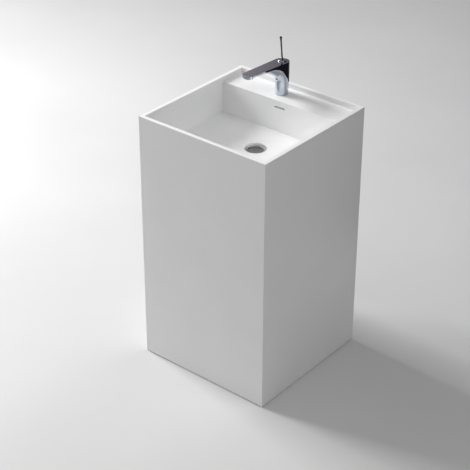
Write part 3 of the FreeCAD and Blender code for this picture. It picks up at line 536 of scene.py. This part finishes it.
def hex_section(bore, flats, low, high):
    """A nut's section with both ends chamfered."""
    corner = flats / math.sqrt(3)
    edge = flats / 2 + 0.2
    return [(bore, low), (edge, low), (corner, low + 1), (corner, high - 1), (edge, high), (bore, high)]


def threaded(radius, low, high, pitch, depth):
    """The outer points of a section with a row of shallow grooves."""
    points = []
    count = int((high - low) / pitch)
    for k in range(count):
        z = low + k * pitch
        points += [(radius - depth, z), (radius, z + 0.35 * pitch), (radius, z + 0.6 * pitch)]
    return points + [(radius - depth, high)]


def waste():
    """Flange, sunk plug and the nut that clamps the waste under the bowl."""
    drain = (0, DRAIN_Y, 0)
    section = [(20, 640), (21.6, 640)] + threaded(22, 641, 660, 1.8, 0.5)
    section += [(22, 661), (22, 699), (28, 702), (28, 712), (34, 712), (34, 714.5), (25.5, 714.5), (25.5, 705.5),
                (20, 700.5)]
    flange = lathe("waste_flange", eased(section, 0.9), drain, steps=128)
    carve(flange, box("port", (-40, 10, 677), (40, 24, 689)), box("port", (-7, -23, 677), (7, 57, 689)))
    dress(flange, "sink", SATIN, "chrome", "waste_body")
    cap = [(0, 707.5), (21.5, 707.5), (24.5, 709), (24.5, 710.5), (22.5, 711.5), (19, 711.3), (0, 711.1)]
    # the plug cap's steel carries painted shade
    dress(lathe("plug_top", eased(cap, 0.8), drain, steps=128), "plug", PLUG, "chrome", "plug_cap")
    nut = lathe("waste_nut", hex_section(22, 58, 661, 670), drain, shape=hexed(58))
    dress(nut, "sink", BRASS, "brass", "waste_locknut")


def trap():
    """The bottle trap with its ribbed plastic nuts."""
    drain = (0, DRAIN_Y, 0)
    tail = [(14.5, 510), (16, 510), (16, 636), (21.5, 636), (21.5, 638), (14.5, 638)]
    dress(lathe("tail_tube", eased(tail, 0.6), drain), "sink", CHROME, "chrome", "tailpiece")
    nut = eased([(16.2, 632), (26, 632), (26, 654), (22, 654), (22, 636), (16.2, 636)], 1.2)
    grip = lathe("tail_nut", nut, drain, steps=240, shape=ribbed(30, 1.1, 24))
    dress(grip, "sink", WHITE_PLASTIC, "white_plastic", "tailpiece_nut")
    head = [(26, 464), (30, 464), (30, 514), (20, 520), (20, 530), (16, 530), (16, 508), (14.5, 508), (14.5, 506),
            (26, 506)]
    socket = [(16, 30), (20, 30), (20, 48), (16, 48)]
    shell = joined("trap_shell", lathe("trap_head_shell", eased(head, 1.5), drain),
                   lathe("trap_socket", eased(socket, 0.8), (0, DRAIN_Y, TRAP_OUTLET_Z), about_x(-90)))
    dress(shell, "sink", WHITE_PLASTIC, "white_plastic", "trap_head")
    inlet = eased([(20, 522), (24, 522), (24, 537), (16.2, 537), (16.2, 533), (20, 533)], 1)
    grip = lathe("inlet_grip", inlet, drain, steps=240, shape=ribbed(24, 1, 22))
    dress(grip, "sink", WHITE_PLASTIC, "white_plastic", "trap_inlet_nut")
    outlet = eased([(20, -8), (24, -8), (24, 7), (16.2, 7), (16.2, 3), (20, 3)], 1)
    grip = lathe("outlet_grip", outlet, (0, 65, TRAP_OUTLET_Z), about_x(-90), 240, ribbed(24, 1, 22))
    dress(grip, "sink", WHITE_PLASTIC, "white_plastic", "outlet_nut")
    cup = [(0, 384), (19, 384), (27, 392), (27, 458), (30, 458), (30, 462), (26, 462), (26, 474), (23, 474), (23, 393),
           (18, 388), (0, 388)]
    rows = eased(cup, 1.5)
    start = next(i for i, row in enumerate(rows) if row[1] > 440)
    rows[start:start] = [(27, 396), (27, 398), (27, 436), (27, 438)]
    ribs = ribbed(36, 1.2, 25)
    shape = lambda r, z, angle: ribs(r, z, angle) if 397 < z < 437 or r > 29 else r
    bottle = lathe("trap_bottle", rows, drain, steps=288, shape=shape)
    dress(bottle, "sink", WHITE_PLASTIC, "white_plastic", "trap_cup")


def supplies():
    """Union nuts on the tails, and the stud and nut that hold the mixer down."""
    for label, y in (("hot", TAP_Y + TAIL_APART), ("cold", TAP_Y - TAIL_APART)):
        section = hex_section(8.3, 19, 470, 490)
        section[-1:] = [(5, 490), (5, 482), (8.3, 482)]
        nut = lathe(label + "_nut", section, (TAP_X, y, 0), shape=hexed(19))
        dress(nut, "sink", BRASS, "brass", label + "_union_nut")
    stud = [(0, 792)] + threaded(4, 792.5, 838, 1.25, 0.35) + [(4, 850), (0, 850)]
    beside = (TAP_X + STUD_SIDE, TAP_Y, 0)
    dress(lathe("clamp_stud", stud, beside, steps=48), "sink", ZINC, "zinc_steel", "fixing_stud")
    nut = lathe("stud_nut", hex_section(4, 13, 804, 818), beside, shape=hexed(13))
    dress(nut, "sink", BRASS, "brass", "clamp_nut")


def stadium_y(half_width, back, front):
    """A slot outline with round ends along Y."""
    return arc((0, back - half_width), half_width, 0, 180, 10) + arc((0, front), half_width, 180, 360, 10)


def lever():
    """Round turret and the thin pin lever with its thicker end."""
    turret = [(0, -7.7), (6, -7.7), (6, 0.3), (13.3, 0.3), (13.3, 2.2), (12.1, 3.4), (9, 3.6), (0, 3.6)]
    disc = lathe("lever_disc", eased(turret, 0.7), (TAP_X, TAP_Y, BASE + TAP_TOP), about_x(-TOP_RISE_DEGREES))
    slot = prism("lever_slot", [(TAP_X + x, TAP_Y + 0.1 + y) for x, y in stadium_y(3.4, 3.4, -3.2)], 942, 955)
    carve(disc, slot)
    dress(disc, "turret", CHROME, "chrome", "lever_turret")
    foot = arc((0, 0), 3.1, -90, 20, 10)
    pin = foot + [(2.6, 6), (2.35, 30), (2.6, 66), (2.8, 73), (3.7, 75), (3.9, 76.5), (3.9, 80), (3.0, 80.9), (0, 81)]
    rod = lathe("lever_rod", eased(pin, 0.6), (TAP_X, TAP_Y + 0.075, PIVOT_Z), about_x(LEVER_LEAN_DEGREES),
                steps=48)
    # the lever pin's chrome is darkened with a painted dark reflection
    dress(rod, "lever", LEVER_CHROME_PAINTED_DARK, "chrome", "lever_pin", angle=50)


def spout_end():
    """Aerator ring with its perforated insert, and the index button."""
    end = (TAP_X, TAP_Y - AERATOR_REACH, BASE)
    ring = [(8, 103), (AERATOR_RADIUS, 103), (AERATOR_RADIUS, AERATOR_TOP), (8, AERATOR_TOP)]
    dress(lathe("aerator_ring", eased(ring, 0.5), end), "sink", CHROME, "chrome", "aerator_housing")
    insert = lathe("aerator_sieve", [(0, 104), (8, 104), (8, 109), (0, 109)], end, steps=72)
    holes = []
    for count, radius in ((1, 0), (6, 2.8), (12, 5.6)):
        for k in range(count):
            angle = 2 * math.pi * k / count
            centre = (end[0] + radius * math.cos(angle), end[1] + radius * math.sin(angle))
            holes.append(prism("sieve_hole", arc(centre, 0.8, 0, 360, 12)[:-1], BASE + 102, BASE + 107))
    carve(insert, joined("sieve_holes", *holes))
    dress(insert, "sink", GREY_PLASTIC, "grey_plastic", "aerator_insert")
    button = [(0, 0), (3, 0), (3, 6.5), (0, 7)]
    dot = lathe("index_dot", eased(button, 0.5), (TAP_X, TAP_Y - 20.5, BASE + 57), about_x(110), 48)
    dress(dot, "sink", DARK_PLASTIC, "dark_plastic", "index_button")


def hanger_screw_heads():
    """Countersunk screws with cross recesses, flush in the hanger plates."""
    heads = []
    for x in (-HANGER_X - 22, -HANGER_X + 22, HANGER_X - 22, HANGER_X + 22):
        section = [(0, 0.1), (3.6, 0.1), (3.7, 0.5), (2, 2.2), (2, 9), (0, 9)]
        head = lathe("screw_head", section, (x, OUT, HANGER_Z), about_x(90), 32)
        carve(head, box("cross", (x - 2.2, OUT - 1.2, HANGER_Z - 0.4), (x + 2.2, OUT + 1, HANGER_Z + 0.4)),
              box("cross", (x - 0.4, OUT - 1.2, HANGER_Z - 2.2), (x + 0.4, OUT + 1, HANGER_Z + 2.2)))
        heads.append(head)
    dress(joined("hanger_screw_set", *heads), "sink", ZINC, "zinc_steel", "hanger_screws")


def softened(node, name, body, material, slot, width, least=40):
    """A copy of a plain CAD piece with its sharp edges eased, which stands for it."""
    source = frame["nodes"][node]
    mesh = source.data.copy()
    thing = bpy.data.objects.new(name, mesh)
    bpy.context.scene.collection.objects.link(thing)
    shape = bmesh.new()
    shape.from_mesh(mesh)
    bmesh.ops.remove_doubles(shape, verts=shape.verts, dist=SAME_POINT)
    bmesh.ops.dissolve_limit(shape, angle_limit=math.radians(0.5), verts=shape.verts, edges=shape.edges)
    shape.to_mesh(mesh)
    shape.free()
    round_edges(thing, width, None, least, 2)
    dress(thing, body, material, slot, node)


# ---- studio ---------------------------------------------------------------------------------------

def sheet(name, corners):
    """One flat staged rectangle, in metres."""
    mesh = bpy.data.meshes.new(name)
    mesh.from_pydata(corners, [], [[0, 1, 2, 3]])
    thing = bpy.data.objects.new(name, mesh)
    bpy.context.scene.collection.objects.link(thing)
    return thing


def floor():
    ground = sheet("studio_floor", [(-30, -30, 0), (30, -30, 0), (30, 30, 0), (-30, 30, 0)])
    ground.data.materials.append(surface("pale_floor", (0.66, 0.66, 0.66), (0.69, 0.69, 0.69), (0.45, 0.55), 60.0,
                                         cloud=1.5))


def flag():
    """A glowing flag behind the sink, which only polished metal sees: a painted reflection, grey at its left, near
    black at its right, as of a wall lit at the left and in shade at the right.
    """
    card = sheet("studio_flag", [(-2.5, 0.33, 0.74), (2.5, 0.33, 0.74), (2.5, 0.33, 2.4), (-2.5, 0.33, 2.4)])
    card.visible_camera = False
    card.visible_diffuse = False
    card.visible_shadow = False
    card.visible_transmission = False
    material = bpy.data.materials.new("flag_painted_reflection_glow")
    material.use_nodes = True
    tree = material.node_tree
    tree.nodes.clear()
    end = tree.nodes.new("ShaderNodeOutputMaterial")
    glow = tree.nodes.new("ShaderNodeEmission")
    place = tree.nodes.new("ShaderNodeTexCoord")
    split = tree.nodes.new("ShaderNodeSeparateXYZ")
    ramp = tree.nodes.new("ShaderNodeValToRGB")
    change = tree.nodes.new("ShaderNodeMapRange")
    change.inputs["From Min"].default_value = -0.3
    change.inputs["From Max"].default_value = 0.1
    # painted reflection: a grey glow for a lit wall at the left, near black for a wall in shade at the right
    ramp.color_ramp.elements[0].color = (0.34, 0.30, 0.32, 1)
    ramp.color_ramp.elements[1].color = (0.012, 0.012, 0.014, 1)
    tree.links.new(place.outputs["Object"], split.inputs["Vector"])
    tree.links.new(split.outputs["X"], change.inputs["Value"])
    tree.links.new(change.outputs["Result"], ramp.inputs["Fac"])
    tree.links.new(ramp.outputs["Color"], glow.inputs["Color"])
    tree.links.new(glow.outputs["Emission"], end.inputs["Surface"])
    card.data.materials.append(material)


def shading_card():
    """A dark card behind the sink's right side, out of the picture, which darkens that side to the back."""
    card = sheet("studio_card", [(0.3, 0.4, 0.3), (0.9, 0.4, 0.3), (0.9, 0.4, 1.2), (0.3, 0.4, 1.2)])
    card.visible_camera = False
    card.data.materials.append(surface("card_cloth", (0.02, 0.02, 0.02), (0.03, 0.03, 0.03), (0.8, 0.9), 300.0))


def area_light(name, place, target, size, power):
    data = bpy.data.lights.new(name, "AREA")
    data.shape = "RECTANGLE"
    data.size = size
    data.size_y = size
    data.energy = power
    lamp = bpy.data.objects.new(name, data)
    lamp.location = place
    aim = Vector(target) - Vector(place)
    lamp.rotation_mode = "QUATERNION"
    lamp.rotation_quaternion = aim.to_track_quat("-Z", "Y")
    bpy.context.scene.collection.objects.link(lamp)


def world():
    """A plain studio surround: light comes from above and a little from the front; the backdrop is pale."""
    place = bpy.data.worlds.new("studio")
    bpy.context.scene.world = place
    place.use_nodes = True
    tree = place.node_tree
    sky = tree.nodes["Background"]
    sky.inputs["Strength"].default_value = 1.0
    where = tree.nodes.new("ShaderNodeTexCoord")
    toward = tree.nodes.new("ShaderNodeVectorMath")
    toward.operation = "DOT_PRODUCT"
    toward.inputs[1].default_value = (0, -0.246, 0.969)
    tree.links.new(where.outputs["Generated"], toward.inputs[0])
    glow = tree.nodes.new("ShaderNodeMapRange")
    glow.inputs["To Min"].default_value = 0.03
    glow.inputs["To Max"].default_value = 0.52
    tree.links.new(toward.outputs["Value"], glow.inputs["Value"])
    tree.links.new(glow.outputs["Result"], sky.inputs["Color"])
    backdrop = tree.nodes.new("ShaderNodeBackground")
    backdrop.inputs["Color"].default_value = (0.62, 0.62, 0.62, 1)
    seen = tree.nodes.new("ShaderNodeLightPath")
    mix = tree.nodes.new("ShaderNodeMixShader")
    tree.links.new(seen.outputs["Is Camera Ray"], mix.inputs["Fac"])
    tree.links.new(sky.outputs["Background"], mix.inputs[1])
    tree.links.new(backdrop.outputs["Background"], mix.inputs[2])
    tree.links.new(mix.outputs["Shader"], tree.nodes["World Output"].inputs["Surface"])


def camera():
    data = bpy.data.cameras.new("view")
    data.sensor_width = SENSOR
    data.lens = SENSOR * FOCAL / PICTURE
    data.clip_start, data.clip_end = 0.1, 100
    eye = bpy.data.objects.new("view", data)
    right = Vector((0.77162, 0.63608, 0.00198))
    down = Vector((0.32822, -0.39549, -0.85782))
    ahead = Vector((-0.54486, 0.66256, -0.51395))
    turn = Matrix((right, -down, -ahead)).transposed().to_4x4()
    eye.matrix_world = Matrix.Translation(Vector((2385.8, -2981.5, 2707.7)) * MM) @ turn
    bpy.context.scene.collection.objects.link(eye)
    bpy.context.scene.camera = eye


def lights():
    area_light("key", (-3.65, -0.4, 2.65), (0, 0, 0.8), 1.75, 215)
    area_light("upper_right", (2.4, 0.3, 3.4), (0, 0, 0.8), 1.6, 20)


bpy.context.scene.view_settings.view_transform = "Standard"
camera()
world()
lights()
floor()
flag()
shading_card()
paint_nodes()
white_body()
mixer()
spout_end()
lever()
waste()
trap()
supplies()
hanger_screw_heads()
softened("hanger_plates", "hanger_plate_pair", "sink", ZINC, "zinc_steel", 0.4)
softened("overflow_housing", "overflow_trough", "sink", WHITE_PLASTIC, "white_plastic", 0.6)
softened("floor_pads", "foot_pads", "sink", DARK_PLASTIC, "pad_plastic", 0.6)
softened("corner_blocks", "corner_block_set", "sink", BATTEN, "batten", 1.5)
softened("basin_bearers", "bearer_pair", "sink", BATTEN, "batten", 1.5)

bpy.context.view_layer.update()
